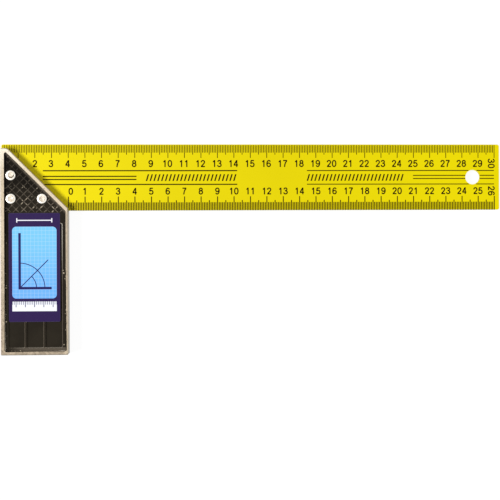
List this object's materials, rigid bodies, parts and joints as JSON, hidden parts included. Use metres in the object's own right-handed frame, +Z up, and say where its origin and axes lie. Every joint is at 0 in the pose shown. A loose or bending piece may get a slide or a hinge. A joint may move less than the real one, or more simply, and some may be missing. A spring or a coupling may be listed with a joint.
{
  "type": "carpenter square",
  "caption": "Lacquered steel blade with centimetre scales riveted square into a thick die-cast stock with a 45 degree mitre end; marks square and mitre lines.",
  "frame": {"origin": "inside corner, where the fence meets the lower edge of the blade, on the plane that the rear rim of the stock lies on", "axes": "+X along the blade towards its free end, +Y across the blade towards its outer edge, +Z up out of the front face"},
  "size_m": [0.303, 0.1265, 0.014],
  "materials": {
    "blade_lacquer": "yellow lacquer on steel, black print",
    "stock_casting": "die-cast, bare ground rim and edges, black paint in the recesses",
    "rivet_metal": "bright, pressed heads",
    "label_print": "glossy printed label"
  },
  "bodies": {
    "root": {"blade": "blade_lacquer", "stock": "stock_casting", "rivet_upper": "rivet_metal", "rivet_heel": "rivet_metal", "rivet_mitre": "rivet_metal", "label": "label_print"}
  },
  "joints": []
}
